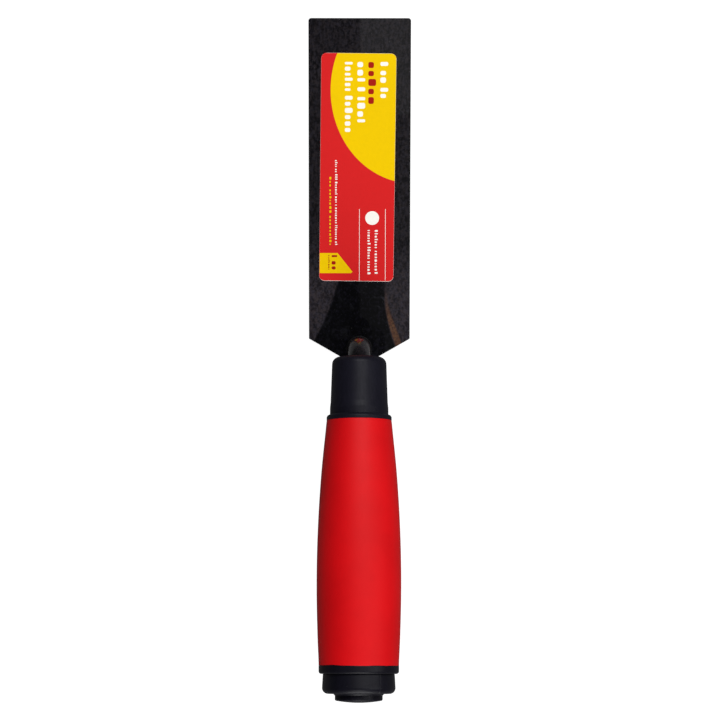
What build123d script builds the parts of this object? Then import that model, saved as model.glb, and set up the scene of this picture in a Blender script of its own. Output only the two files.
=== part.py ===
from build123d import *
from math import cos, radians, sin, tan
import os

# Margin trowel: a narrow flat blade, a cranked round neck and a two-colour soft-grip handle.
# Millimetres, +Z up. The working face lies on Z = 0, +Y points from the heel to the toe,
# and the origin is on the blade's centreline at the heel line, where the straight sides start.

# ---- Blade: flat hardened carbon steel, with the heel cut to a V with a blunt tip under the neck
blade_width = 38.0
blade_side_length = 120.0
blade_thickness = 1.5
heel_edge_angle = 30.0
toe_corner_radius = 1.0
heel_corner_radius = 0.5
heel_tip_width = 5.0
blade_edge_round = 0.3

# ---- Size label: a vinyl sticker on the upper face, stuck on a little crooked
label_width = 27.9
label_length = 85.2
label_thickness = 0.2
label_corner_radius = 2.0
label_centre = (-0.75, 64.55)
label_turn = -0.6

# ---- Handle axis: starts at the centre of the collar's front face and rises towards the butt
handle_rise = 16.0
handle_front_y = -2.1
handle_front_z = 33.0

# ---- Neck and tang: one round bar, cranked through a tight elbow
bar_diameter = 8.0
neck_lean = 10.0
elbow_radius = 5.5
elbow_corner_reach = 3.6
foot_overrun = 2.0
tang_shoulder = 88.0
stud_diameter = 6.0
stud_end = 106.0
stud_chamfer = 0.8
wing_start = 34.0
wing_length = 14.0
wing_span = 12.0
wing_thickness = 2.0

# ---- Fillet weld that joins the neck's foot to the blade
weld_base_radius = 4.95
weld_top_radius = 4.3
weld_height = 1.8
weld_waist_radius = 4.45
weld_waist_height = 0.6
weld_centre_ahead = 0.25

# ---- Handle stations, measured along the handle axis from the collar's front face
collar_rear = 21.2
grip_front = 23.2
grip_rear = 111.7
core_rear = 114.7
cap_rear = 121.8
plug_rear = 124.3

# ---- Front collar: black moulded ferrule with a flared rear flange
collar_front_radius = 9.85
collar_rear_radius = 10.66
collar_shoulder_round = 2.6
collar_mouth_radius = 5.0
collar_throat = 1.6
collar_throat_radius = 4.15
collar_wall = 3.0
flange_radius = 11.85
flange_round = 1.1
spigot_radius = 7.0

# ---- Handle core: black moulded barrel under the grip, hollow at the butt
barrel_front_radius = 9.6
barrel_middle_radius = 12.4
barrel_middle = 76.0
barrel_rear_radius = 12.0
lock_groove_floor = 10.6
lock_groove_width = 3.0
lock_groove_count = 4
lock_groove_start = 48.0
lock_groove_pitch = 15.0
band_radius = 14.5
band_round = 1.0
pocket_radius = 8.0
pocket_floor = 98.0

# ---- Grip sleeve: red soft rubber moulded over the barrel, fullest past its middle
grip_front_radius = 11.85
grip_front_slope = 0.09
grip_quarter = 42.0
grip_quarter_radius = 13.68
grip_full = 83.0
grip_full_radius = 15.3
grip_waning = 102.0
grip_waning_radius = 14.88
grip_rear_radius = 14.47
grip_rear_slope = -0.02

# ---- Butt cap: black moulded cap with a spigot that clips into the core's pocket
cap_front_radius = 12.95
cap_rear_radius = 13.35
cap_round = 2.1
cap_spigot_length = 7.0
cap_spigot_wall = 2.0
cap_recess_radius = 10.9
cap_recess_depth = 4.4
cap_bore_radius = 5.0

# ---- End plug: black domed disc whose stem fills the hole in the butt cap
plug_radius = 8.6
plug_round = 0.6
plug_crown = 0.7
plug_stem_length = 5.5
plug_stem_chamfer = 0.6

# ---- Washer and nut that pull the core on to the tang, inside the core's pocket
washer_radius = 6.5
washer_thickness = 1.6
nut_across_flats = 10.0
nut_height = 5.0

os.makedirs("parts", exist_ok=True)

# ---- Derived planes and places
bar_radius = bar_diameter / 2
stud_radius = stud_diameter / 2
axis_y = -cos(radians(handle_rise))
axis_z = sin(radians(handle_rise))
handle_front = (0, handle_front_y, handle_front_z)
handle_plane = Plane(origin=handle_front, x_dir=(1, 0, 0), z_dir=(0, axis_y, axis_z))
handle_axis = Axis(handle_front, (0, axis_y, axis_z))
# In the profile plane, local x is the radius and local y is the station along the handle.
profile_plane = Plane(origin=handle_front, x_dir=(1, 0, 0), z_dir=(0, -axis_z, axis_y))

blade_top = Plane.XY.offset(blade_thickness)
heel_depth = (blade_width - heel_tip_width) / 2 * tan(radians(heel_edge_angle))

elbow_corner_y = handle_front_y - elbow_corner_reach * axis_y
elbow_corner_z = handle_front_z - elbow_corner_reach * axis_z
lean_slope = tan(radians(neck_lean))
foot_y = elbow_corner_y - (elbow_corner_z - blade_thickness) * lean_slope
start_z = blade_thickness - foot_overrun
start_y = foot_y - foot_overrun * lean_slope
shoulder_y = handle_front_y + tang_shoulder * axis_y
shoulder_z = handle_front_z + tang_shoulder * axis_z
neck_direction = (0, sin(radians(neck_lean)), cos(radians(neck_lean)))


# ---- Blade
with BuildPart() as blade:
    with BuildSketch(Plane.XY):
        with BuildLine():
            FilletPolyline(
                (-blade_width / 2, 0),
                (-heel_tip_width / 2, -heel_depth),
                (heel_tip_width / 2, -heel_depth),
                (blade_width / 2, 0),
                (blade_width / 2, blade_side_length),
                (-blade_width / 2, blade_side_length),
                radius=[
                    heel_corner_radius,
                    heel_corner_radius,
                    heel_corner_radius,
                    heel_corner_radius,
                    toe_corner_radius,
                    toe_corner_radius,
                ],
                close=True,
            )
        make_face()
    extrude(amount=blade_thickness)
    fillet(blade.faces().sort_by(Axis.Z)[-1].edges(), radius=blade_edge_round)
blade.part.label = "blade"
export_step(blade.part, "parts/blade.step")

# ---- Size label
with BuildPart() as size_label:
    with BuildSketch(blade_top):
        with Locations(Location((*label_centre, 0), (0, 0, label_turn))):
            RectangleRounded(label_width, label_length, label_corner_radius)
    extrude(amount=label_thickness)
size_label.part.label = "size_label"
export_step(size_label.part, "parts/size_label.step")

# ---- Shank: neck, elbow, tang with two swaged wings, and the stud for the nut
with BuildPart() as shank:
    with BuildLine() as bar_line:
        FilletPolyline(
            (0, start_y, start_z),
            (0, elbow_corner_y, elbow_corner_z),
            (0, shoulder_y, shoulder_z),
            radius=elbow_radius,
        )
    with BuildSketch(Plane(origin=(0, start_y, start_z), z_dir=neck_direction)):
        Circle(bar_radius)
    sweep()
    split(bisect_by=blade_top, keep=Keep.TOP)
    with BuildSketch(handle_plane.offset(wing_start)):
        Rectangle(wing_span, wing_thickness)
    extrude(amount=wing_length)
    with BuildSketch(handle_plane.offset(tang_shoulder)):
        Circle(stud_radius)
    extrude(amount=stud_end - tang_shoulder)
    chamfer(shank.faces().sort_by(handle_axis)[-1].edges(), length=stud_chamfer)
shank.part.label = "shank"
export_step(shank.part, "parts/shank.step")

# ---- Weld between the neck's foot and the blade
weld_centre = (0, foot_y + weld_centre_ahead, blade_thickness)
weld_plane = Plane(origin=weld_centre, x_dir=(1, 0, 0), z_dir=(0, -1, 0))
with BuildPart() as shank_weld:
    with BuildSketch(weld_plane):
        with BuildLine():
            Line((0, 0), (weld_base_radius, 0))
            ThreePointArc(
                (weld_base_radius, 0),
                (weld_waist_radius, weld_waist_height),
                (weld_top_radius, weld_height),
            )
            Line((weld_top_radius, weld_height), (0, weld_height))
            Line((0, weld_height), (0, 0))
        make_face()
    revolve(axis=Axis(weld_centre, (0, 0, 1)))
    add(shank.part, mode=Mode.SUBTRACT)
shank_weld.part.label = "shank_weld"
export_step(shank_weld.part, "parts/shank_weld.step")

# ---- Front collar
with BuildPart() as front_collar:
    with BuildSketch(profile_plane):
        with BuildLine():
            FilletPolyline(
                (collar_mouth_radius, 0),
                (collar_front_radius, 0),
                (collar_rear_radius, collar_rear),
                (flange_radius, collar_rear),
                (flange_radius, grip_front),
                (spigot_radius, grip_front),
                (spigot_radius, collar_wall),
                (collar_throat_radius, collar_wall),
                (collar_throat_radius, collar_throat),
                radius=[0, collar_shoulder_round, 0, flange_round, 0, 0, 0, 0, 0],
                close=True,
            )
        make_face()
    revolve(axis=handle_axis)
front_collar.part.label = "front_collar"
export_step(front_collar.part, "parts/front_collar.step")

# ---- Solid shape of the handle core, which the grip is moulded around
with BuildPart() as core_shape:
    with BuildSketch(profile_plane):
        with BuildLine():
            barrel_nose = (barrel_front_radius, grip_front)
            barrel_foot = (barrel_rear_radius, grip_rear)
            band_edge = (band_radius, core_rear - band_round)
            rear_edge = (band_radius - band_round, core_rear)
            ThreePointArc(barrel_nose, (barrel_middle_radius, barrel_middle), barrel_foot)
            Polyline(barrel_foot, (band_radius, grip_rear), band_edge)
            RadiusArc(band_edge, rear_edge, -band_round)
            Polyline(
                rear_edge,
                (0, core_rear),
                (0, collar_wall),
                (spigot_radius, collar_wall),
                (spigot_radius, grip_front),
                barrel_nose,
            )
        make_face()
    revolve(axis=handle_axis)
    for groove in range(lock_groove_count):
        with BuildSketch(handle_plane.offset(lock_groove_start + groove * lock_groove_pitch)):
            Circle(grip_full_radius)
            Circle(lock_groove_floor, mode=Mode.SUBTRACT)
        extrude(amount=lock_groove_width, mode=Mode.SUBTRACT)

# ---- Handle core: bored out to the tang, with an open pocket at the butt
with BuildPart() as handle_core:
    add(core_shape.part)
    with BuildSketch(handle_plane.offset(pocket_floor)):
        Circle(pocket_radius)
    extrude(amount=core_rear - pocket_floor, mode=Mode.SUBTRACT)
    add(shank.part, mode=Mode.SUBTRACT)
handle_core.part.label = "handle_core"
export_step(handle_core.part, "parts/handle_core.step")

# ---- Grip sleeve
with BuildPart() as grip_sleeve:
    with BuildSketch(profile_plane):
        with BuildLine():
            Spline(
                (grip_front_radius, grip_front),
                (grip_quarter_radius, grip_quarter),
                (grip_full_radius, grip_full),
                (grip_waning_radius, grip_waning),
                (grip_rear_radius, grip_rear),
                tangents=[(grip_front_slope, 1), (grip_rear_slope, 1)],
            )
            Polyline(
                (grip_rear_radius, grip_rear),
                (0, grip_rear),
                (0, grip_front),
                (grip_front_radius, grip_front),
            )
        make_face()
    revolve(axis=handle_axis)
    add(core_shape.part, mode=Mode.SUBTRACT)
grip_sleeve.part.label = "grip_sleeve"
export_step(grip_sleeve.part, "parts/grip_sleeve.step")

# ---- Washer and nut on the stud
with BuildPart() as tang_washer:
    with BuildSketch(handle_plane.offset(pocket_floor)):
        Circle(washer_radius)
        Circle(stud_radius, mode=Mode.SUBTRACT)
    extrude(amount=washer_thickness)
tang_washer.part.label = "tang_washer"
export_step(tang_washer.part, "parts/tang_washer.step")

nut_seat = pocket_floor + washer_thickness
with BuildPart() as tang_nut:
    with BuildSketch(handle_plane.offset(nut_seat)):
        RegularPolygon(nut_across_flats / 2, side_count=6, major_radius=False)
        Circle(stud_radius, mode=Mode.SUBTRACT)
    extrude(amount=nut_height)
tang_nut.part.label = "tang_nut"
export_step(tang_nut.part, "parts/tang_nut.step")

# ---- Butt cap
cap_spigot_inner = pocket_radius - cap_spigot_wall
with BuildPart() as butt_cap:
    with BuildSketch(profile_plane):
        with BuildLine():
            FilletPolyline(
                (cap_spigot_inner, core_rear - cap_spigot_length),
                (pocket_radius, core_rear - cap_spigot_length),
                (pocket_radius, core_rear + cap_recess_depth),
                (cap_recess_radius, core_rear + cap_recess_depth),
                (cap_recess_radius, core_rear),
                (cap_front_radius, core_rear),
                (cap_rear_radius, cap_rear),
                (cap_bore_radius, cap_rear),
                (cap_bore_radius, core_rear + cap_recess_depth),
                (cap_spigot_inner, core_rear + cap_recess_depth),
                radius=[0, 0, 0, 0, 0, 0, cap_round, 0, 0, 0],
                close=True,
            )
        make_face()
    revolve(axis=handle_axis)
butt_cap.part.label = "butt_cap"
export_step(butt_cap.part, "parts/butt_cap.step")

# ---- End plug
crown_edge_radius = plug_radius - plug_round
crown_sphere_radius = (crown_edge_radius**2 + plug_crown**2) / (2 * plug_crown)
with BuildPart() as end_plug:
    with BuildSketch(handle_plane.offset(cap_rear - plug_stem_length)):
        Circle(cap_bore_radius)
    extrude(amount=plug_stem_length)
    chamfer(end_plug.faces().sort_by(handle_axis)[0].edges(), length=plug_stem_chamfer)
    with BuildSketch(profile_plane):
        with BuildLine():
            plug_edge = (plug_radius, plug_rear - plug_round)
            crown_edge = (crown_edge_radius, plug_rear)
            crown_tip = (0, plug_rear + plug_crown)
            Polyline((0, cap_rear), (plug_radius, cap_rear), plug_edge)
            RadiusArc(plug_edge, crown_edge, -plug_round)
            RadiusArc(crown_edge, crown_tip, -crown_sphere_radius)
            Line(crown_tip, (0, cap_rear))
        make_face()
    revolve(axis=handle_axis)
end_plug.part.label = "end_plug"
export_step(end_plug.part, "parts/end_plug.step")
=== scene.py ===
import random
from math import acos, asin, atan2, ceil, cos, exp, hypot, pi, radians, sin, tan

import bmesh
import bpy
from mathutils import Matrix, Quaternion, Vector, noise


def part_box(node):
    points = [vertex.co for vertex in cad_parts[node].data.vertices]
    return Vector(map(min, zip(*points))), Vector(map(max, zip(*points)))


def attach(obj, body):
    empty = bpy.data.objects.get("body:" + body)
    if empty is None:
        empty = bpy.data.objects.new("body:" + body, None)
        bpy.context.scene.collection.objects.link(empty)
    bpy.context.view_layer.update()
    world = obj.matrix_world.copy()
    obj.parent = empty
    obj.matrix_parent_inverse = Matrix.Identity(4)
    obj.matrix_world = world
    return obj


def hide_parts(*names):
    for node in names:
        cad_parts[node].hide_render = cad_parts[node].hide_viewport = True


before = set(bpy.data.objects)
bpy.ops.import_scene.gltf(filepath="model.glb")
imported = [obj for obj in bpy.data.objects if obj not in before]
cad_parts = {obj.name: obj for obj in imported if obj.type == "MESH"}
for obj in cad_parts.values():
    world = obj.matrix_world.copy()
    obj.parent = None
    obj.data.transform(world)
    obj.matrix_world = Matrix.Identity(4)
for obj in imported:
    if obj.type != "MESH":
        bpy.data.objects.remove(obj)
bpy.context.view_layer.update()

# Margin trowel: the looks of a narrow steel blade with its label, a cranked neck and a soft-grip handle.
# Metres, in the frame of the CAD model: +Z up, +Y from the heel to the toe, origin at the heel line.
# Stations along the handle, radii round it and the places of the print are in mm.
MM = 0.001

# ---- Handle axis and the stations along it, as in the CAD model
handle_front = Vector((0, -2.1, 33.0)) * MM
handle_rise = radians(16.0)
along = Vector((0, -cos(handle_rise), sin(handle_rise)))
outward = Vector((0, sin(handle_rise), cos(handle_rise)))
sideways = Vector((1, 0, 0))
core_front = 3.0
collar_rear = 21.2
grip_front = 23.2
tang_rear = 88.0
pocket_floor = 98.0
grip_rear = 111.7
core_rear = 114.7
cap_rear = 121.8
plug_rear = 124.3

# ---- Radii that neighbouring pieces share, and the lean of the neck's upright
bar_radius = 4.0
plug_hole_radius = 5.0
core_nose_radius = 7.0
pocket_radius = 8.0
barrel_radius = 9.6
flange_radius = 11.85
neck_lean = radians(10.0)

# ---- Blade and label
blade_low, blade_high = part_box("blade")
blade_half_width = blade_high.x
blade_top = blade_high.z
heel_depth = -blade_low.y
heel_tip_half_width = 2.5 * MM
label_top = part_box("size_label")[1].z
label_size = Vector((27.9, 85.2)) * MM
label_round = 2.0 * MM
label_centre = Vector((-0.75, 64.55)) * MM
label_turn = radians(-0.6)

# ---- Finish colours, linear
RED_RUBBER = (0.615, 0.0026, 0.0052, 1)
RED_INK = (0.59, 0.0150, 0.0158, 1)
YELLOW_INK = (0.78, 0.508, 0.0003, 1)
WHITE_INK = (0.86, 0.84, 0.78, 1)
DARK_RED_INK = (0.33, 0.012, 0.006, 1)


# ==== Mesh helpers

def finish_piece(name, mesh, material, replaced, sharp_degrees=35):
    """Makes the object for a finished bmesh, shades it smooth and hands it to the frame."""
    bmesh.ops.recalc_face_normals(mesh, faces=mesh.faces)
    data = bpy.data.meshes.new(name)
    mesh.to_mesh(data)
    mesh.free()
    data.shade_smooth()
    data.set_sharp_from_angle(angle=radians(sharp_degrees))
    piece = bpy.data.objects.new(name, data)
    bpy.context.scene.collection.objects.link(piece)
    data.materials.append(material)
    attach(piece, "root")
    if replaced:
        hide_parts(replaced)


def rounded_path(corners, steps=7):
    """The closed outline through corners (x, y, radius), with each corner turned into an arc."""
    points = []
    count = len(corners)
    for i, (x, y, radius) in enumerate(corners):
        corner = Vector((x, y))
        if radius == 0:
            points.append(corner)
            continue
        back = (Vector(corners[i - 1][:2]) - corner).normalized()
        ahead = (Vector(corners[(i + 1) % count][:2]) - corner).normalized()
        half_angle = acos(max(-1, min(1, back.dot(ahead)))) / 2
        centre = corner + (back + ahead).normalized() * radius / sin(half_angle)
        first = corner + back * radius / tan(half_angle) - centre
        last = corner + ahead * radius / tan(half_angle) - centre
        turn = atan2(first.x * last.y - first.y * last.x, first.dot(last))
        for k in range(steps + 1):
            points.append(centre + Matrix.Rotation(turn * k / steps, 2) @ first)
    return points


def bridge_rings(mesh, rings):
    """Quads between neighbouring rings of vertices, and a flat face on the first and on the last ring."""
    for low, high in zip(rings, rings[1:]):
        for i in range(len(low)):
            j = (i + 1) % len(low)
            mesh.faces.new((low[i], low[j], high[j], high[i]))
    mesh.faces.new(list(reversed(rings[0])))
    mesh.faces.new(rings[-1])


def inset_path(path, distance):
    """The closed convex path, moved inwards by distance."""
    least_cosine = 0.3
    moved = []
    count = len(path)
    for i, point in enumerate(path):
        before = (point - path[i - 1]).normalized()
        after = (path[(i + 1) % count] - point).normalized()
        inward = Vector((-before.y - after.y, before.x + after.x)).normalized()
        cosine = inward.dot(Vector((-before.y, before.x)))
        moved.append(point + inward * distance / max(least_cosine, cosine))
    return moved


def add_slab(mesh, path, low, high, low_round=0.0, high_round=0.0, steps=4):
    """A flat plate with this anticlockwise outline between two heights, its rims rounded.
    An extra ring inside each rounded rim keeps the shading of the flat faces flat."""
    extra_ring = 1.5
    levels = []
    if low_round:
        levels.append((low_round * extra_ring, low))
        for k in range(steps):
            angle = pi / 2 * k / steps
            levels.append((low_round * (1 - sin(angle)), low + low_round * (1 - cos(angle))))
    levels.append((0.0, low + low_round))
    levels.append((0.0, high - high_round))
    if high_round:
        for k in range(1, steps + 1):
            angle = pi / 2 * k / steps
            levels.append((high_round * (1 - cos(angle)), high - high_round * (1 - sin(angle))))
        levels.append((high_round * extra_ring, high))
    rings = []
    for inset, height in levels:
        outline = inset_path(path, inset) if inset else path
        rings.append([mesh.verts.new((p.x, p.y, height)) for p in outline])
    bridge_rings(mesh, rings)


def angle_steps(count, fine_at=()):
    """Angles round a full turn, with extra ones about each of the fine_at angles."""
    fine_span = radians(3)
    fine_count = 12
    closest = 1e-5
    angles = [2 * pi * k / count for k in range(count)]
    for place in fine_at:
        for k in range(fine_count + 1):
            angles.append((place - fine_span / 2 + fine_span * k / fine_count) % (2 * pi))
    angles.sort()
    kept = [angles[0]]
    for angle in angles[1:]:
        if angle - kept[-1] > closest:
            kept.append(angle)
    return kept


def handle_point(station, radius, angle):
    """A point round the handle axis, in metres. Angle 0 is the top line, and +90 degrees the +X side."""
    radial = outward * cos(angle) + sideways * sin(angle)
    return handle_front + (along * station + radial * radius) * MM


def add_lathe(mesh, profile, angles, shape=None):
    """A solid of revolution round the handle axis, from a closed profile of (radius, station) in mm.
    shape(radius, station, angle) may move each point. A point on the axis becomes a single vertex."""
    on_axis = 1e-6
    rings = []
    for radius, station in profile:
        if radius < on_axis:
            rings.append([mesh.verts.new(handle_point(station, 0, 0))])
            continue
        ring = []
        for angle in angles:
            r, s = shape(radius, station, angle) if shape else (radius, station)
            ring.append(mesh.verts.new(handle_point(s, r, angle)))
        rings.append(ring)
    for low, high in zip(rings, rings[1:] + rings[:1]):
        if len(low) == 1 and len(high) == 1:
            continue
        for i in range(max(len(low), len(high))):
            j = (i + 1) % max(len(low), len(high))
            if len(low) == 1:
                mesh.faces.new((low[0], high[j], high[i]))
            elif len(high) == 1:
                mesh.faces.new((low[i], low[j], high[0]))
            else:
                mesh.faces.new((low[i], low[j], high[j], high[i]))


def smooth_curve(points, start_slope, end_slope, steps):
    """A curve of (radius, station) through the points, with the given slopes at its two ends."""
    slopes = [start_slope]
    for before, here, after in zip(points, points[1:], points[2:]):
        first = (here[0] - before[0]) / (here[1] - before[1])
        second = (after[0] - here[0]) / (after[1] - here[1])
        share = (here[1] - before[1]) / (after[1] - before[1])
        slopes.append(first * (1 - share) + second * share)
    slopes.append(end_slope)
    curve = []
    for (a, b), (m, n) in zip(zip(points, points[1:]), zip(slopes, slopes[1:])):
        span = b[1] - a[1]
        for k in range(steps):
            t = k / steps
            radius = (
                a[0] * (2 * t**3 - 3 * t**2 + 1)
                + b[0] * (3 * t**2 - 2 * t**3)
                + span * m * (t**3 - 2 * t**2 + t)
                + span * n * (t**3 - t**2)
            )
            curve.append((radius, a[1] + span * t))
    curve.append(points[-1])
    return curve


def stretched(profile, longest):
    """The closed profile with its straight runs divided, so that no step is longer than longest. A short
    step at each end of a run keeps its shading flat beside a rounded corner."""
    margin = 0.12
    points = []
    for a, b in zip(profile, profile[1:] + profile[:1]):
        points.append(a)
        length = hypot(b[0] - a[0], b[1] - a[1])
        if length < 5 * margin:
            continue
        inner = length - 2 * margin
        parts = ceil(inner / longest)
        for k in range(parts + 1):
            t = (margin + inner * k / parts) / length
            points.append((a[0] + (b[0] - a[0]) * t, a[1] + (b[1] - a[1]) * t))
    return points


# ==== Material helpers

class Nodes:
    """Short calls for building one material's node tree. Most return the socket they make."""

    # The colour sockets of a Mix node: its inputs A and B and its result.
    MIX_A, MIX_B, MIX_RESULT = 6, 7, 2

    def __init__(self, name):
        self.material = bpy.data.materials.new(name)
        self.material.use_nodes = True
        self.tree = self.material.node_tree
        self.shader = self.tree.nodes["Principled BSDF"]
        self.position = self.tree.nodes.new("ShaderNodeTexCoord").outputs["Object"]

    def put(self, socket, value):
        if isinstance(value, bpy.types.NodeSocket):
            self.tree.links.new(value, socket)
        else:
            socket.default_value = value

    def set(self, **values):
        for name, value in values.items():
            self.put(self.shader.inputs[name.replace("_", " ")], value)

    def axes(self):
        split = self.tree.nodes.new("ShaderNodeSeparateXYZ")
        self.put(split.inputs[0], self.position)
        return split.outputs

    def scaled(self, scale, turn=(0, 0, 0)):
        mapping = self.tree.nodes.new("ShaderNodeMapping")
        self.put(mapping.inputs["Vector"], self.position)
        mapping.inputs["Scale"].default_value = scale
        mapping.inputs["Rotation"].default_value = turn
        return mapping.outputs[0]

    def noise(self, scale, detail, rough, vector=None, distortion=0.0):
        made = self.tree.nodes.new("ShaderNodeTexNoise")
        self.put(made.inputs["Vector"], vector or self.position)
        made.inputs["Scale"].default_value = scale
        made.inputs["Detail"].default_value = detail
        made.inputs["Roughness"].default_value = rough
        made.inputs["Distortion"].default_value = distortion
        return made.outputs["Fac"]

    def math(self, operation, a, b):
        made = self.tree.nodes.new("ShaderNodeMath")
        made.operation = operation
        self.put(made.inputs[0], a)
        self.put(made.inputs[1], b)
        return made.outputs[0]

    def ease(self, value, start, end, low=0.0, high=1.0):
        made = self.tree.nodes.new("ShaderNodeMapRange")
        made.interpolation_type = "SMOOTHSTEP"
        self.put(made.inputs["Value"], value)
        made.inputs["From Min"].default_value = start
        made.inputs["From Max"].default_value = end
        made.inputs["To Min"].default_value = low
        made.inputs["To Max"].default_value = high
        return made.outputs[0]

    def blend(self, share, a, b, blend_type="MIX"):
        made = self.tree.nodes.new("ShaderNodeMix")
        made.data_type = "RGBA"
        made.blend_type = blend_type
        self.put(made.inputs["Factor"], share)
        self.put(made.inputs[self.MIX_A], a)
        self.put(made.inputs[self.MIX_B], b)
        return made.outputs[self.MIX_RESULT]

    def product(self, *factors):
        made = factors[0]
        for factor in factors[1:]:
            made = self.math("MULTIPLY", made, factor)
        return made

    def weighted(self, a, share, b):
        """Share of a, and the rest of b."""
        return self.math("ADD", self.product(a, share), self.product(b, 1 - share))

    def bump(self, height, distance, strength):
        made = self.tree.nodes.new("ShaderNodeBump")
        self.put(made.inputs["Height"], height)
        made.inputs["Distance"].default_value = distance
        made.inputs["Strength"].default_value = strength
        return made.outputs[0]


def shade(colour, factor):
    """The colour, darker or lighter by factor."""
    return tuple(c * factor for c in colour[:3]) + (1,)


# ==== Materials

def steel_ground(n, tone, hue, y):
    """The blade's colour outside the painted handle reflection: near-black mottle with faint clouds, and a
    painted reflection that makes it paler towards the heel.
    """
    clouds = n.noise(45, 3, 0.5)
    plain = n.blend(tone, (0.0013, 0.0011, 0.0018, 1), (0.0158, 0.0136, 0.0166, 1))
    cloudy = n.blend(n.ease(clouds, 0.3, 0.7, 0.0, 0.35), plain, (0.0068, 0.0060, 0.0074, 1))
    # Painted reflection: a paler colour stands in for studio light mirrored in the blade near the heel.
    painted_heel_reflection = n.blend(tone, (0.0080, 0.0069, 0.0088, 1), (0.0275, 0.0236, 0.0284, 1))
    ground = n.blend(n.ease(y, 18 * MM, 40 * MM, 1, 0), cloudy, painted_heel_reflection)
    warmth = n.blend(n.ease(hue, 0.35, 0.65), (0.94, 0.98, 1.08, 1), (1.07, 1.00, 0.92, 1))
    return n.blend(1.0, ground, warmth, "MULTIPLY")


def past_bowed_edge(n, x, y, corner, slope, end, bow):
    """How far x lies past an edge that starts at corner (x, y in mm), rises at slope in x per y and bows
    sideways until y reaches end. bow is in 1/m."""
    rise = n.math("SUBTRACT", y, corner[1] * MM)
    arc = n.product(rise, n.math("SUBTRACT", y, end * MM))
    edge = n.math("ADD", n.product(rise, slope), n.product(arc, bow))
    return n.math("SUBTRACT", x, n.math("ADD", edge, corner[0] * MM))


def painted_handle_reflection(n, x, y, past_left, past_right, grain):
    """Share and colour of the painted reflection of the dark handle: a blue-black zone between its two
    edges, with a hazy patch on the right.
    """
    inside = n.product(
        n.ease(past_left, -0.5 * MM, 0.5 * MM),
        n.ease(past_right, -0.5 * MM, 0.5 * MM, 1, 0),
        n.ease(y, 24 * MM, 40 * MM, 1, 0),
    )
    patch = n.product(
        n.ease(x, 3 * MM, 8 * MM), n.ease(y, 9 * MM, 15 * MM), n.ease(y, 16 * MM, 23 * MM, 1, 0)
    )
    haze = n.ease(n.noise(230, 4, 0.7, distortion=1.2), 0.5, 0.75)
    haze = n.math("ADD", n.product(haze, 0.35), n.product(n.ease(patch, 0, 1), haze))
    # Painted reflection: the dark handle mirrored in the blade, laid into the colour as a blue-black zone
    # with a hazy patch.
    painted_reflection_colour = n.blend(haze, (0.0006, 0.0006, 0.0010, 1), (0.0140, 0.0140, 0.0185, 1))
    painted_reflection_colour = n.blend(n.ease(grain, 0.5, 0.68, 0.0, 0.6), painted_reflection_colour, (0.0085, 0.0078, 0.0135, 1))
    return inside, painted_reflection_colour


def temper_line(n, y, past_right, grain, hue):
    """Share and colour of the straw-brown line down the right-hand edge of the painted handle reflection.
    It widens and moves outwards near the heel."""
    lower = n.ease(y, 0, 16 * MM, 1, 0)
    drift = n.math("SUBTRACT", past_right, n.product(lower, 0.35 * MM))
    reach = n.math("SUBTRACT", drift, n.product(lower, 1.5 * MM))
    line = n.product(
        n.ease(drift, -0.4 * MM, 0.3 * MM),
        n.ease(reach, 0.5 * MM, 1.4 * MM, 1, 0),
        n.ease(y, 5 * MM, 21 * MM, 1, 0),
        n.ease(grain, 0.35, 0.62, 0.45, 1.0),
    )
    straw = n.blend(n.ease(hue, 0.4, 0.6), (0.088, 0.044, 0.023, 1), (0.064, 0.027, 0.017, 1))
    return line, straw


def blade_steel():
    """Dark hardened steel under clear lacquer: mottled grain, a painted reflection of the handle as a
    blue-black zone round the neck's weld, a painted reflection paling it towards the heel, a few bright
    specks of grit, and grinding marks on the underside."""
    n = Nodes("blade_steel")
    x, y, z = n.axes()
    grain = n.noise(1100, 4, 0.75)
    streaks = n.noise(1, 3, 0.6, n.scaled((1100, 330, 1100), (0, 0, radians(28))))
    hue = n.noise(700, 2, 0.6)
    mottle = n.weighted(grain, 0.6, streaks)
    past_left = past_bowed_edge(n, x, y, (-15.9, 1.5), 0.448, 13.1, -6.9)
    past_right = past_bowed_edge(n, x, y, (13.395, -2.5), -0.238, 12.6, 9.2)

    steel = steel_ground(n, n.ease(mottle, 0.40, 0.60), hue, y)
    # Painted reflection of the handle, blended over the steel colour.
    painted_reflection_share, painted_reflection_colour = painted_handle_reflection(n, x, y, past_left, past_right, grain)
    steel = n.blend(painted_reflection_share, steel, painted_reflection_colour)
    line, straw = temper_line(n, y, past_right, grain, hue)
    steel = n.blend(line, steel, straw)
    specks = n.ease(n.noise(2600, 0, 0.5), 0.80, 0.86)
    steel = n.blend(n.product(specks, 0.35), steel, (0.09, 0.09, 0.1, 1))

    grind = n.noise(1, 2, 0.5, n.scaled((3500, 90, 3500)))
    underside = n.ease(z, 0.2 * MM, 0.5 * MM, 1, 0)
    height = n.math("ADD", n.product(mottle, 0.7), n.product(grind, underside))
    n.set(
        Base_Color=steel,
        Roughness=n.ease(mottle, 0.3, 0.7, 0.62, 0.42),
        Specular_IOR_Level=0.035,
        Coat_Weight=0.15,
        Coat_Roughness=0.02,
        Normal=n.bump(height, 0.03 * MM, 0.5),
    )
    return n.material


def lacquered_bar():
    """The neck's steel bar, under glossy dark lacquer."""
    n = Nodes("shank_steel")
    scale = n.noise(900, 4, 0.6)
    drawn = n.noise(1, 3, 0.5, n.scaled((2200, 2200, 120)))
    mottle = n.weighted(scale, 0.5, drawn)
    n.set(
        Base_Color=n.blend(n.ease(mottle, 0.35, 0.65), (0.020, 0.018, 0.023, 1), (0.072, 0.060, 0.073, 1)),
        Roughness=n.ease(mottle, 0.3, 0.7, 0.45, 0.3),
        Specular_IOR_Level=0.04,
        Coat_Weight=1.0,
        Coat_Roughness=0.2,
        Coat_IOR=1.7,
        Normal=n.bump(mottle, 0.04 * MM, 0.5),
    )
    return n.material


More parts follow.
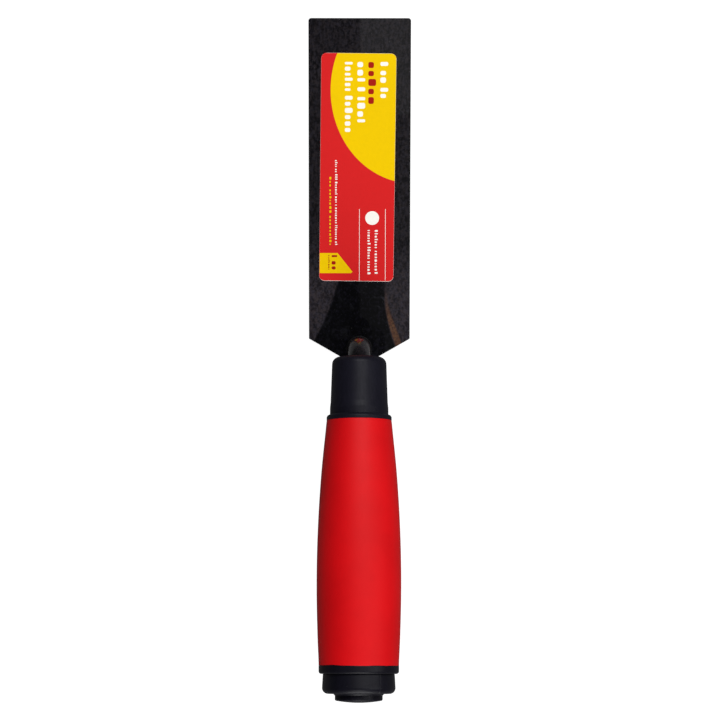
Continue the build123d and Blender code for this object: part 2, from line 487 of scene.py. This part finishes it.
def weld_metal():
    """Blued weld metal with soot in the ripples."""
    n = Nodes("weld_steel")
    soot = n.noise(700, 4, 0.65)
    n.set(
        Base_Color=n.blend(n.ease(soot, 0.35, 0.7), (0.002, 0.002, 0.003, 1), (0.014, 0.012, 0.012, 1)),
        Metallic=0.1,
        Roughness=n.ease(soot, 0.3, 0.7, 0.65, 0.5),
        Specular_IOR_Level=0.12,
        Normal=n.bump(soot, 0.06 * MM, 0.6),
    )
    return n.material


def black_plastic(name, dark, light, rough, seed, gloss):
    """Black moulded plastic with a fine spark-eroded texture and faint drawn marks along the handle.
    seed shifts the noises, and gloss is the weight of a soft sheen over it."""
    n = Nodes(name)
    texture = n.noise(2400 + seed, 3, 0.6)
    drawn = n.noise(1, 2, 0.5, n.scaled((1500, 60, 1500), (handle_rise, 0, 0)))
    patches = n.noise(130 + seed, 2, 0.5)
    tone = n.weighted(drawn, 0.5, patches)
    n.set(
        Base_Color=n.blend(n.ease(tone, 0.3, 0.7), dark, light),
        Roughness=n.ease(tone, 0.3, 0.7, rough + 0.05, rough - 0.05),
        Specular_IOR_Level=0.09,
        Coat_Weight=gloss,
        Coat_Roughness=0.34,
        Normal=n.bump(texture, 0.02 * MM, 0.5),
    )
    return n.material


def red_rubber():
    """Soft-touch red rubber: matt, faintly uneven, with a very fine grain."""
    n = Nodes("grip_rubber")
    grain = n.noise(3000, 3, 0.6)
    clouds = n.noise(60, 3, 0.55)
    n.set(
        Base_Color=n.blend(n.ease(clouds, 0.3, 0.7), shade(RED_RUBBER, 0.94), shade(RED_RUBBER, 1.04)),
        Roughness=n.ease(grain, 0.3, 0.7, 0.58, 0.48),
        Specular_IOR_Level=0.13,
        Normal=n.bump(grain, 0.025 * MM, 0.5),
    )
    return n.material


def printed_vinyl(name, colour):
    """Satin vinyl ink, with the slight unevenness of print."""
    n = Nodes(name)
    print_grain = n.noise(900, 3, 0.6)
    drift = n.noise(25, 2, 0.5)
    uneven = n.weighted(print_grain, 0.4, drift)
    n.set(
        Base_Color=n.blend(n.ease(uneven, 0.3, 0.7), shade(colour, 0.96), shade(colour, 1.03)),
        Roughness=n.ease(uneven, 0.3, 0.7, 0.5, 0.42),
        Specular_IOR_Level=0.05,
        Normal=n.bump(n.noise(70, 2, 0.5), 0.05 * MM, 0.3),
    )
    return n.material


def zinc_plate():
    """Bright zinc plating on the washer and nut inside the butt."""
    n = Nodes("zinc_steel")
    spangle = n.noise(500, 3, 0.6)
    n.set(
        Base_Color=n.blend(spangle, (0.42, 0.42, 0.44, 1), (0.62, 0.61, 0.58, 1)),
        Metallic=1.0,
        Roughness=n.ease(spangle, 0.3, 0.7, 0.42, 0.28),
        Normal=n.bump(spangle, 0.02 * MM, 0.4),
    )
    return n.material


# ==== Pieces

def make_blade():
    """The blade's plate: straight sides, a V heel with a blunt tip, and softly rounded rims."""
    heel_round = 0.5 * MM
    toe_round = 1.0 * MM
    path = rounded_path([
        (-heel_tip_half_width, -heel_depth, heel_round),
        (heel_tip_half_width, -heel_depth, heel_round),
        (blade_half_width, 0, heel_round),
        (blade_half_width, blade_high.y, toe_round),
        (-blade_half_width, blade_high.y, toe_round),
        (-blade_half_width, 0, heel_round),
    ])
    mesh = bmesh.new()
    add_slab(mesh, path, 0, blade_top, low_round=0.1 * MM, high_round=0.3 * MM)
    finish_piece("blade_plate", mesh, blade_steel(), "blade")


def on_label(point):
    """The place on the blade of a point measured from the label's centre along the label's own sides."""
    return Matrix.Rotation(label_turn, 2) @ point + label_centre


def label_outline(left, right, bottom, top, radius):
    """A rounded rectangle on the label, each side moved in by its own inset."""
    half = label_size / 2
    corners = [
        (-half.x + left, -half.y + bottom, radius),
        (half.x - right, -half.y + bottom, radius),
        (half.x - right, half.y - top, radius),
        (-half.x + left, half.y - top, radius),
    ]
    return [on_label(p) for p in rounded_path(corners)]


def label_piece(name, outlines, material, layer, replaced=None):
    """Flat printed shapes on one ink layer; layer 0 is the label's own sheet."""
    ink = 0.012 * MM
    mesh = bmesh.new()
    for outline in outlines:
        if layer == 0:
            add_slab(mesh, outline, blade_top, label_top, high_round=0.05 * MM, steps=2)
        else:
            add_slab(mesh, outline, label_top + ink * (layer - 1) - ink / 2, label_top + ink * layer)
    finish_piece(name, mesh, material, replaced)


def yellow_outline(inset):
    """The yellow field: the part of the label inside a large ellipse that runs off its top and right."""
    centre = Vector((19.9, 93.8)) * MM - label_centre
    half_axes = Vector((31.0, 34.8)) * MM
    right = label_size.x / 2 - inset
    top = label_size.y / 2 - inset
    radius = label_round - inset
    first = pi - asin((top - centre.y) / half_axes.y)
    last = 2 * pi - acos((right - centre.x) / half_axes.x)
    ellipse_steps, corner_steps = 48, 8
    outline = []
    for k in range(ellipse_steps + 1):
        angle = first + (last - first) * k / ellipse_steps
        outline.append(Vector((centre.x + half_axes.x * cos(angle), centre.y + half_axes.y * sin(angle))))
    for k in range(corner_steps + 1):
        angle = pi / 2 * k / corner_steps
        outline.append(Vector((right - radius + radius * cos(angle), top - radius + radius * sin(angle))))
    return [on_label(p) for p in outline]


def box_outline(left, right, bottom, top, radius=0.0):
    """A rectangle along the blade's own sides, in mm, with rounded corners if radius is set."""
    corners = [(left, bottom, radius), (right, bottom, radius), (right, top, radius), (left, top, radius)]
    return rounded_path([(x * MM, y * MM, r * MM) for x, y, r in corners], 3)


def filler_row(middle, start, end, height, words, rng):
    """A row of rounded blocks that stands in for a line of print and reads down the blade, centred on x =
    middle from y = start to end. words gives how many blocks each word has; every third or so stands a
    little taller. Small print is set wider."""
    small_print = height <= 2
    gap, space = (0.6, 1.2) if small_print else (0.42, 0.95)
    widths = [[rng.uniform(0.45, 1.05) for _ in range(count)] for count in words]
    units = sum(sum(w) + gap * (len(w) - 1) for w in widths) + space * (len(words) - 1)
    unit = (start - end) / units
    outlines = []
    y = start
    for word in widths:
        for width in word:
            tall = rng.choice((0.72, 0.72, 1.0)) * height
            low = middle - height / 2
            corner = min(0.22 * height, 0.4 * width * unit)
            outlines.append(box_outline(low, low + tall, y - width * unit, y, corner))
            y -= (width + gap) * unit
        y -= (space - gap) * unit
    return outlines


def filler_rows(rows, rng):
    """The blocks of several rows, each given as middle, start, end, height and words."""
    return [outline for row in rows for outline in filler_row(*row, rng)]


def make_label():
    """The size label: a white-cored vinyl sheet with red and yellow fields, two thin rules, a disc and rows
    of filler blocks."""
    rng = random.Random(11)
    white = printed_vinyl("label_white", WHITE_INK)
    red = printed_vinyl("label_red", RED_INK)
    yellow = printed_vinyl("label_yellow", YELLOW_INK)
    dark = printed_vinyl("label_dark_red", DARK_RED_INK)
    edge = 0.04 * MM
    heel_edge = 0.12 * MM
    label_piece("label_sheet", [label_outline(0, 0, 0, 0, label_round)], white, 0, "size_label")
    red_field = label_outline(edge, edge, heel_edge, edge, 1.9 * MM)
    label_piece("label_red_field", [red_field], red, 1)
    tab = [(-14.95, 25.0), (-3.2, 25.0), (-2.6, 25.5), (-8.2, 32.6), (-14.9, 32.6)]
    tab_outline = [Vector(p) * MM for p in tab]
    label_piece("label_yellow_field", [yellow_outline(edge), tab_outline], yellow, 2)

    rules = [box_outline(x, x + 0.17, 22.3, 49.2) for x in (-0.12, 9.62)]
    disc_x, disc_y, disc_radius = 4.75, 45.8, 2.6
    disc = [
        Vector((disc_x + disc_radius * cos(a), disc_y + disc_radius * sin(a))) * MM for a in angle_steps(32)
    ]
    large = [
        (9.15, 103.9, 90.6, 2.9, (1, 2, 2)),
        (0.6, 103.9, 81.6, 2.9, (3, 1, 4)),
        (-4.05, 103.9, 78.0, 2.9, (6, 6)),
    ]
    small = [
        (6.3, 41.3, 24.8, 1.2, (7, 8)),
        (3.6, 41.3, 24.6, 1.2, (6, 5, 5)),
        (-8.7, 67.5, 35.7, 0.9, (4, 2, 3, 6, 3, 1, 7, 7, 2)),
    ]
    label_piece("label_white_print", rules + [disc] + filler_rows(large + small, rng), white, 3)
    deep = [
        (4.65, 103.9, 88.4, 2.9, (5,)),
        (-9.4, 31.8, 26.4, 2.1, (1, 2)),
        (-11.4, 31.8, 26.4, 0.7, (8,)),
    ]
    label_piece("label_dark_print", filler_rows(deep, rng), dark, 3)
    gold = [(-10.9, 61.2, 35.7, 0.7, (3, 7, 9))]
    label_piece("label_gold_print", filler_rows(gold, rng), yellow, 3)


def neck_line():
    """The bar's centreline as pairs of a point, in mm, and the direction there: up from the blade, round
    the elbow and along the handle to the end of the tang."""
    elbow_radius = 5.5
    corner_ahead = 3.6
    upright_steps, elbow_steps, tang_steps = 8, 16, 29
    corner = handle_front / MM - along * corner_ahead
    up = Vector((0, sin(neck_lean), cos(neck_lean)))
    foot = corner - up * (corner.z - blade_top / MM) / up.z
    back = -up
    half_angle = acos(back.dot(along)) / 2
    reach = elbow_radius / tan(half_angle)
    centre = corner + (back + along).normalized() * elbow_radius / sin(half_angle)
    first = corner + back * reach
    last = corner + along * reach
    turn = pi - 2 * half_angle
    points = []
    for k in range(upright_steps + 1):
        points.append((foot.lerp(first, k / upright_steps), up))
    for k in range(1, elbow_steps + 1):
        spin = Matrix.Rotation(turn * k / elbow_steps, 3, "X")
        points.append((centre + spin @ (first - centre), spin @ up))
    rear = handle_front / MM + along * tang_rear
    for k in range(1, tang_steps + 1):
        points.append((last.lerp(rear, k / tang_steps), along))
    return points


def wing_radius(angle):
    """The bar's radius where the two wings are pressed out: a wide, thin bar across the round one."""
    half_width, half_thickness = 6.0, 1.0
    tiny = 1e-3
    sideways_reach = half_width / max(tiny, abs(cos(angle)))
    upward_reach = half_thickness / max(tiny, abs(sin(angle)))
    return max(bar_radius, min(sideways_reach, upward_reach))


def make_neck(line):
    """The round bar swept along its line, with two wings pressed out inside the handle and a turned-down
    stud at its end. Its foot is cut level with the blade's face."""
    wing_front, wing_rear = 34.0, 48.0
    stud_radius, stud_length, stud_chamfer = 3.0, 18.0, 0.8
    mesh = bmesh.new()
    angles = angle_steps(72)
    plain = [bar_radius] * len(angles)
    winged = [wing_radius(angle) for angle in angles]

    def ring(middle, direction, radii):
        top = direction.cross(sideways).normalized()
        offsets = [(sideways * cos(a) + top * sin(a)) * radius for a, radius in zip(angles, radii)]
        return [mesh.verts.new((middle + offset) * MM) for offset in offsets]

    rings = []
    for point, direction in line:
        station = (point - handle_front / MM).dot(along)
        in_wing = wing_front <= station <= wing_rear
        rings.append(ring(point, direction, winged if in_wing else plain))
    shoulder, direction = line[-1]
    stud = (
        (0.0, stud_radius),
        (stud_length - stud_chamfer, stud_radius),
        (stud_length, stud_radius - stud_chamfer),
    )
    for station, radius in stud:
        rings.append(ring(shoulder + direction * station, direction, [radius] * len(angles)))
    for vertex in rings[0]:
        vertex.co.z = blade_top
    bridge_rings(mesh, rings)
    finish_piece("neck_bar", mesh, lacquered_bar(), "shank")


def make_weld(foot):
    """The fillet weld round the bar's foot, with the ripples of a bead laid in one turn, and spatter. The
    bead leans with the bar, and its top ring is tucked inside the bar."""
    ripples = 22
    steps = 10
    bead_radius, bead_width, bead_height = 4.86, 0.75, 1.7
    tucked_radius = 3.8
    heel_shift = 0.25
    unevenness = 0.05
    spatter_count = 9
    mesh = bmesh.new()
    angles = angle_steps(144)
    centre = Vector((foot.x, foot.y + heel_shift, blade_top / MM))
    rings = []
    for k in range(steps + 1):
        t = k / steps
        height = bead_height * t**1.35
        lean = height * tan(neck_lean)
        ring = []
        for angle in angles:
            phase = (angle * ripples / (2 * pi) + 0.35 * t) % 1.0
            wave = unevenness * sin(pi * t) * (abs(2 * phase - 1) - 0.5)
            lump = unevenness * noise.noise(Vector((cos(angle), sin(angle), t)) * 2)
            radius = tucked_radius if t == 1 else bead_radius - bead_width * t**0.7 + wave + lump
            y = -radius * cos(angle) + lean - heel_shift * t
            ring.append(mesh.verts.new((centre + Vector((radius * sin(angle), y, height))) * MM))
        rings.append(ring)
    bridge_rings(mesh, rings)
    rng = random.Random(5)
    for _ in range(spatter_count):
        angle = rng.uniform(0, 2 * pi)
        away = rng.uniform(6.2, 9.0)
        size = rng.uniform(0.12, 0.3)
        spot = centre + Vector((away * sin(angle), abs(away * cos(angle)), size * 0.2))
        bmesh.ops.create_icosphere(
            mesh, subdivisions=2, radius=size * MM, matrix=Matrix.Translation(spot * MM)
        )
    finish_piece("weld_bead", mesh, weld_metal(), "shank_weld", 60)


def make_collar():
    """The moulded ferrule: rounded shoulder, slight taper and a flange against the grip. Its profile lists
    (radius, station, corner radius)."""
    mouth_radius, mouth_depth = 5.0, 1.6
    bar_hole_radius = 4.15
    profile = rounded_path([
        (mouth_radius, 0.0, 0),
        (9.85, 0.0, 2.6),
        (10.42, 16.6, 3.0),
        (10.63, 18.6, 3.0),
        (10.65, collar_rear, 0.12),
        (flange_radius, collar_rear, 1.05),
        (flange_radius, grip_front, 0.0),
        (core_nose_radius, grip_front, 0),
        (core_nose_radius, core_front, 0),
        (bar_hole_radius, core_front, 0),
        (bar_hole_radius, mouth_depth, 0),
    ], 12)
    mesh = bmesh.new()
    add_lathe(mesh, stretched([tuple(p) for p in profile], 4.0), angle_steps(192))
    plastic = black_plastic(
        "collar_plastic", (0.0048, 0.0046, 0.0086, 1), (0.0080, 0.0076, 0.0132, 1), 0.46, 0, 0.03
    )
    finish_piece("collar_ferrule", mesh, plastic, "front_collar", 50)


def make_core():
    """The moulded barrel inside the grip, with its lock grooves and the black band that shows behind."""
    barrel_swell = 2.8
    swell_end = 76.0
    groove_radius, groove_width = 10.6, 3.0
    band_front = grip_rear - 0.35
    band_radius, band_round = 14.48, 1.0
    arc_steps = 8
    outline = [
        (bar_radius, core_front),
        (core_nose_radius, core_front),
        (core_nose_radius, grip_front),
        (barrel_radius, grip_front),
    ]
    for front in (48.0, 63.0, 78.0, 93.0):
        share = min(1, (front - grip_front) / (swell_end - grip_front))
        outer = barrel_radius + barrel_swell * sin(pi / 2 * share)
        rear = front + groove_width
        outline += [(outer, front), (groove_radius, front), (groove_radius, rear), (outer, rear)]
    outline += [(12.0, band_front), (14.2, band_front), (band_radius, grip_rear + 0.1)]
    for k in range(arc_steps + 1):
        angle = pi / 2 * k / arc_steps
        radius = band_radius - band_round * (1 - cos(angle))
        outline.append((radius, core_rear - band_round * (1 - sin(angle))))
    outline += [(pocket_radius, core_rear), (pocket_radius, pocket_floor), (bar_radius, pocket_floor)]
    mesh = bmesh.new()
    add_lathe(mesh, stretched(outline, 4.0), angle_steps(160))
    plastic = black_plastic(
        "core_plastic", (0.0036, 0.0033, 0.0062, 1), (0.0060, 0.0056, 0.0096, 1), 0.46, 17, 0.1
    )
    finish_piece("core_barrel", mesh, plastic, "handle_core")


def seam_ridge(angle, place, width):
    """1 on a mould seam at that place round the handle, falling to 0 beside it."""
    away = (angle - place + pi) % (2 * pi) - pi
    return exp(-((away / width) ** 2))


def make_grip():
    """The red sleeve: its swell, a fine recess against the flange, faint seams and an uneven rear lip."""
    first_slope, last_slope = 0.09, -0.02
    swell = [(flange_radius, grip_front), (13.68, 42.0), (15.3, 83.0), (14.88, 102.0), (14.47, grip_rear)]
    outer = smooth_curve(swell, first_slope, last_slope, 16)
    inner = [(12.0, grip_rear - 0.3), (12.4, 76.0), (barrel_radius, grip_front)]
    step = (flange_radius + 0.06, grip_front + 0.25)
    seams = (radians(68), radians(-68))
    seam_width, seam_height = radians(0.45), 0.04
    recess_length, recess_depth = 0.35, 0.12
    wave_height = 0.12
    rear_lip = grip_rear - 0.5
    inside = flange_radius - 0.05

    def shape(radius, station, angle):
        if radius < inside:
            return radius, station
        ridge = max(seam_ridge(angle, seam, seam_width) for seam in seams)
        ridge *= min(1, (station - grip_front) / 2)
        recess = exp(-((station - grip_front) / recess_length) ** 2)
        radius += seam_height * ridge - recess_depth * recess
        if station > rear_lip:
            wave = sin(2 * angle + 0.7) + 0.6 * sin(5 * angle + 2.0) + 0.35 * sin(11 * angle)
            station += wave_height * wave - 0.05
        return radius, station

    mesh = bmesh.new()
    add_lathe(mesh, [outer[0], step, *outer[1:], *inner], angle_steps(240, seams), shape)
    finish_piece("grip_rubber", mesh, red_rubber(), "grip_sleeve", 45)


def make_cap():
    """The butt cap: a rounded drum with two mould parting lines, two gate nubs and a low sloped lip round
    the plug. Its profile lists (radius, station, corner radius)."""
    spigot_front = core_rear - 7.0
    spigot_bore = 6.0
    end_wall = core_rear + 4.4
    hollow_radius = 10.9
    lip_rear = cap_rear + 0.55
    parting = (radians(36), radians(216))
    parting_width, parting_depth = radians(0.5), 0.12
    drum_wall, drum_front = 11.5, core_rear + 0.2
    nub_radius, nub_station, nub_seat = 0.3, core_rear + 4.2, 13.0
    profile = rounded_path([
        (spigot_bore, spigot_front, 0),
        (pocket_radius, spigot_front, 0),
        (pocket_radius, end_wall, 0),
        (hollow_radius, end_wall, 0),
        (hollow_radius, core_rear, 0),
        (12.95, core_rear, 0.25),
        (13.34, cap_rear, 2.1),
        (9.15, cap_rear, 0.15),
        (8.72, lip_rear, 0.03),
        (8.65, lip_rear, 0),
        (8.65, cap_rear, 0),
        (plug_hole_radius, cap_rear, 0),
        (plug_hole_radius, end_wall, 0),
        (spigot_bore, end_wall, 0),
    ], 10)

    def shape(radius, station, angle):
        if radius > drum_wall and station > drum_front:
            radius -= parting_depth * max(seam_ridge(angle, line, parting_width) for line in parting)
        return radius, station

    mesh = bmesh.new()
    add_lathe(mesh, stretched([tuple(p) for p in profile], 3.0), angle_steps(200, parting), shape)
    for angle in (radians(-18.8), radians(14.8)):
        matrix = Matrix.Translation(handle_point(nub_station, nub_seat, angle))
        bmesh.ops.create_icosphere(mesh, subdivisions=2, radius=nub_radius * MM, matrix=matrix)
    plastic = black_plastic(
        "cap_plastic", (0.0032, 0.0030, 0.0060, 1), (0.0056, 0.0053, 0.0096, 1), 0.44, 31, 0.12
    )
    finish_piece("cap_drum", mesh, plastic, "butt_cap", 50)


def make_plug():
    """The end plug: a domed disc whose stem fills the hole in the cap."""
    stem_front, stem_chamfer = cap_rear - 5.5, 0.6
    disc_radius, rim_round = 8.6, 0.6
    crown = 0.7
    rim_steps, dome_steps = 8, 10
    outline = [
        (0.0, stem_front),
        (plug_hole_radius - stem_chamfer, stem_front),
        (plug_hole_radius, stem_front + stem_chamfer),
        (plug_hole_radius, cap_rear),
        (disc_radius, cap_rear),
    ]
    for k in range(rim_steps + 1):
        angle = pi / 2 * k / rim_steps
        radius = disc_radius - rim_round * (1 - cos(angle))
        outline.append((radius, plug_rear - rim_round * (1 - sin(angle))))
    for k in range(1, dome_steps + 1):
        share = 1 - k / dome_steps
        outline.append(((disc_radius - rim_round) * share, plug_rear + crown * (1 - share**2)))
    mesh = bmesh.new()
    add_lathe(mesh, stretched(outline, 3.0), angle_steps(128))
    plastic = black_plastic(
        "plug_plastic", (0.0038, 0.0034, 0.0066, 1), (0.0066, 0.0060, 0.0104, 1), 0.46, 53, 0.05
    )
    finish_piece("plug_disc", mesh, plastic, "end_plug", 40)


def finish_hardware():
    """The washer and nut inside the butt keep their CAD meshes and get plated metal."""
    zinc = zinc_plate()
    for name in ("tang_washer", "tang_nut"):
        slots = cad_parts[name].data.materials
        slots.clear()
        slots.append(zinc)


# ==== Studio

def area_light(name, place, target, size, power):
    """A soft white rectangular light that isn't seen by the camera. It looks at target; a light straight
    above its target keeps the rotation it starts with, which already points down."""
    data = bpy.data.lights.new(name, "AREA")
    data.shape = "RECTANGLE"
    data.size, data.size_y = size
    data.energy = power
    light = bpy.data.objects.new(name, data)
    light.location = place
    sight = Vector(target) - Vector(place)
    if sight.x or sight.y:
        light.rotation_euler = sight.to_track_quat("-Z", "Y").to_euler()
    light.visible_camera = False
    bpy.context.scene.collection.objects.link(light)
    return light


def make_floor():
    """A plain white floor just under the blade. Its own glow keeps it white in the picture and, by light
    linking, falls on nothing else, so the object gets only the studio light that the floor reflects."""
    n = Nodes("studio_floor")
    n.set(Base_Color=(0.16, 0.16, 0.16, 1), Roughness=1.0, Specular_IOR_Level=0.0)
    n.set(Emission_Color=(1, 1, 1, 1), Emission_Strength=0.95)
    mesh = bmesh.new()
    half_side = 3.0
    gap = 0.8 * MM
    corners = ((-1, -1), (1, -1), (1, 1), (-1, 1))
    add_slab(mesh, [Vector(corner) * half_side for corner in corners], -2 * gap, -gap)
    data = bpy.data.meshes.new("studio_floor")
    mesh.to_mesh(data)
    mesh.free()
    data.materials.append(n.material)
    floor = bpy.data.objects.new("studio_floor", data)
    bpy.context.scene.collection.objects.link(floor)
    lit = bpy.data.collections.new("lit_by_floor_glow")
    lit.objects.link(floor)
    floor.light_linking.receiver_collection = lit


def leave_unlit(light, piece):
    """Light linking: the light falls on everything but the piece."""
    unlit = bpy.data.collections.new("not_lit_by_" + light.name)
    unlit.objects.link(piece)
    unlit.collection_objects[0].light_linking.link_state = "EXCLUDE"
    light.light_linking.receiver_collection = unlit


def make_studio():
    """Key softbox above the toe, a weaker one on the right, two at the heel that catch the butt's rounded
    edges, and two dim panels straight above that the blade mirrors. The key leaves out the neck, whose
    glossy lacquer would show it as a bright dot."""
    aim = (0, 0, 0.03)
    key = area_light("key", (0.2, 0.83, 1.0), aim, (0.9, 0.5), 15)
    leave_unlit(key, bpy.data.objects["neck_bar"])
    area_light("right_side", (0.9, 0.0, 0.9), aim, (0.45, 0.9), 4.2)
    area_light("heel_side", (0.05, -0.9, 0.9), aim, (0.6, 0.9), 7.5)
    area_light("heel_low", (0.05, -1.0, 0.22), aim, (0.6, 0.35), 4.5)
    area_light("toe_panel", (0.1, 0.05, 1.4), (0.1, 0.05, 0), (0.2, 0.1), 0.112)
    area_light("blade_panel", (0.1, -0.12, 1.4), (0.1, -0.12, 0), (0.2, 0.24), 0.06)
    world = bpy.data.worlds.new("studio_air")
    world.use_nodes = True
    background = world.node_tree.nodes["Background"]
    background.inputs["Color"].default_value = (1, 1, 1, 1)
    background.inputs["Strength"].default_value = 0.035
    bpy.context.scene.world = world
    bpy.context.scene.view_settings.view_transform = "Standard"


def make_camera():
    """Nearly straight down, leaning towards the toe and rolled very slightly, with a long lens."""
    lean = radians(9.1)
    distance = 0.942
    target = Vector((0.00027, -0.00834, 0))
    roll = radians(0.083)
    data = bpy.data.cameras.new("camera")
    data.lens = 124.35
    data.sensor_width = 36
    data.dof.use_dof = False
    camera = bpy.data.objects.new("camera", data)
    camera.location = target + Vector((0, sin(lean), cos(lean))) * distance
    camera.rotation_mode = "QUATERNION"
    camera.rotation_quaternion = Quaternion((1, 0, 0), -lean) @ Quaternion((0, 0, 1), roll)
    bpy.context.scene.collection.objects.link(camera)
    bpy.context.scene.camera = camera


make_blade()
make_label()
bar_line = neck_line()
make_neck(bar_line)
make_weld(bar_line[0][0])
make_collar()
make_core()
make_grip()
make_cap()
make_plug()
finish_hardware()
make_floor()
make_studio()
make_camera()
